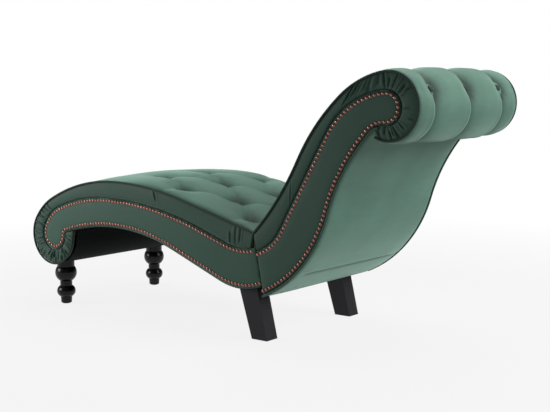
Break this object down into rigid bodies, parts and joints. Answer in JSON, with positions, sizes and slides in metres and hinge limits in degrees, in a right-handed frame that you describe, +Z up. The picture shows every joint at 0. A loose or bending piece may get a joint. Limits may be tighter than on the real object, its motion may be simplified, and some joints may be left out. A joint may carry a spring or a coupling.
{
  "type": "chaise longue",
  "caption": "Armless chaise longue in buttoned green velvet: low seat with a foot roll, raked back with a scrolled head roll, nail-trimmed sides, turned front legs, raked square rear legs.",
  "frame": {"origin": "middle of the footprint on the floor, under the centre of the whole length", "axes": "+X from foot end to head roll, +Y across to the sitter's right, +Z up; the floor is z = 0"},
  "size_m": [1.5729, 0.5726, 0.8162],
  "materials": {
    "velvet_side": "dark green velvet, pile brushed along the seams",
    "velvet_top": "dark green velvet, lit pile",
    "velvet_outside_back": "smooth stretched dark green velvet",
    "piping_velvet": "velvet covered cord",
    "black_lining": "black lining cloth",
    "foam": "polyurethane foam",
    "tie_twine": "waxed twine with plastic stop",
    "plywood": "plywood, sawn edges",
    "copper_nail": "antique copper, domed and burnished",
    "black_gloss_wood": "turned hardwood, black gloss lacquer",
    "black_satin_wood": "square hardwood, black satin lacquer",
    "zinc_steel": "zinc plated",
    "black_glide": "moulded"
  },
  "bodies": {
    "root": {"seat_band_left": "velvet_side", "seat_band_right": "velvet_side", "seat_side_panel_left": "velvet_side", "seat_side_panel_right": "velvet_side", "back_band_left": "velvet_side", "back_band_right": "velvet_side", "back_side_panel_left": "velvet_side", "back_side_panel_right": "velvet_side", "seat_cushion": "velvet_top", "back_cushion": "velvet_top", "seat_buttons": "velvet_top", "back_buttons": "velvet_top", "outside_back": "velvet_outside_back", "seat_piping_left": "piping_velvet", "seat_piping_right": "piping_velvet", "back_piping_left": "piping_velvet", "back_piping_right": "piping_velvet", "back_rear_piping_left": "piping_velvet", "back_rear_piping_right": "piping_velvet", "seat_lining": "black_lining", "foot_roll_lining": "black_lining", "seat_foam": "foam", "back_foam": "foam", "seat_button_ties": "tie_twine", "back_button_ties": "tie_twine", "seat_side_board_left": "plywood", "seat_side_board_right": "plywood", "back_side_board_left": "plywood", "back_side_board_right": "plywood", "seat_deck": "plywood", "back_deck": "plywood", "seat_front_rail": "plywood", "seat_middle_rail": "plywood", "back_middle_rail": "plywood", "back_upper_rail": "plywood", "seat_joint_board": "plywood", "back_joint_board": "plywood", "front_leg_rail": "plywood", "rear_leg_rail": "plywood", "head_roll_core": "plywood", "seat_nails_left": "copper_nail", "seat_nails_right": "copper_nail", "back_nails_left": "copper_nail", "back_nails_right": "copper_nail", "front_leg_left": "black_gloss_wood", "front_leg_right": "black_gloss_wood", "rear_leg_left": "black_satin_wood", "rear_leg_right": "black_satin_wood", "joint_bolts": "zinc_steel", "joint_nuts": "zinc_steel", "front_leg_hanger_bolts": "zinc_steel", "rear_leg_bolts": "zinc_steel", "leg_glides": "black_glide"}
  },
  "joints": []
}
